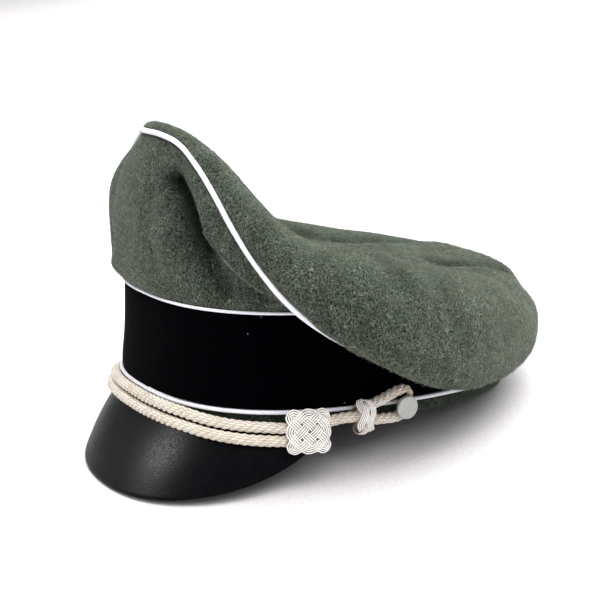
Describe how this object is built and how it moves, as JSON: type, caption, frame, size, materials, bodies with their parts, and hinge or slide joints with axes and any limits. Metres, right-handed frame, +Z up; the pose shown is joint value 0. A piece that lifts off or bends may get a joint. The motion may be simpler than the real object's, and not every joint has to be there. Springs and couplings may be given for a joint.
{
  "type": "crusher cap",
  "caption": "Soft peaked cap with a crushed wool crown, black velvet band, short black peak and a braided cream chin cord held by slide knots and side buttons.",
  "frame": {"origin": "middle of the bounding box at floor level, under the cap as it rests on its peak's edge and the back of its rim", "axes": "+Z up from the floor, -Y towards the peak, +X towards the wearer's left"},
  "size_m": [0.2478, 0.261, 0.1777],
  "materials": {
    "grey_green_wool": "napped wool cloth",
    "black_velvet": "short cotton velvet pile",
    "white_piping": "smooth woven piping",
    "black_peak_leather": "satin, fine grain",
    "cream_braid": "twisted cotton cord",
    "frosted_button": "frosted, matt"
  },
  "bodies": {
    "root": {"band": "black_velvet", "band_welt": "grey_green_wool", "button_left": "frosted_button", "button_loop_left": "cream_braid", "button_loop_right": "cream_braid", "button_right": "frosted_button", "chin_cord_lower": "cream_braid", "chin_cord_upper": "cream_braid", "crown_piping": "white_piping", "large_knot_left": "cream_braid", "large_knot_right": "cream_braid", "lower_band_piping": "white_piping", "peak": "black_peak_leather", "side_panel": "grey_green_wool", "small_knot_left": "cream_braid", "small_knot_right": "cream_braid", "top_panel": "grey_green_wool", "upper_band_piping": "white_piping"}
  },
  "joints": []
}
